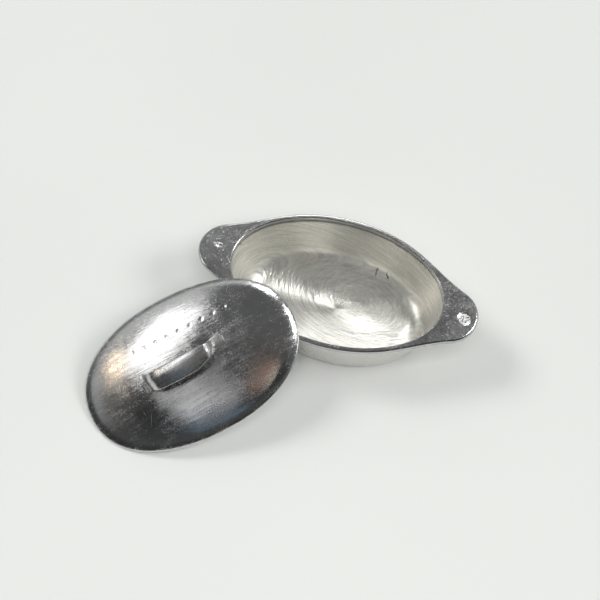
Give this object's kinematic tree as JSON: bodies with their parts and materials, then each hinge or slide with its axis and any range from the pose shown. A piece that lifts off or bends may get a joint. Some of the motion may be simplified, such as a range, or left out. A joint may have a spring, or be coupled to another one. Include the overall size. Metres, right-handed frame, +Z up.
{
  "type": "shaving bowl",
  "caption": "Small two-eared oval metal bowl for shaving soap, with a loose domed lid that has an arched strap handle and leans against the rim.",
  "frame": {"origin": "centre of the bowl's flat base, on the table", "axes": "+X along the bowl's long axis through its ears, +Z up, out of the bowl's mouth"},
  "size_m": [0.1473, 0.1189, 0.0301],
  "materials": {
    "bowl_metal": "satin, brushed in ovals inside",
    "rim_metal": "worn polish, finely speckled",
    "lid_metal": "polished, scratched and speckled",
    "handle_metal": "worn polish"
  },
  "bodies": {
    "bowl": {"bowl_shell": "bowl_metal", "rim_plate": "rim_metal"},
    "lid": {"lid_shell": "lid_metal", "lid_handle": "handle_metal"}
  },
  "joints": [
    {"name": "lid_lift", "type": "slide", "parent": "bowl", "child": "lid", "axis": [0, 0, 1], "range_m": [0, 0.08]}
  ]
}
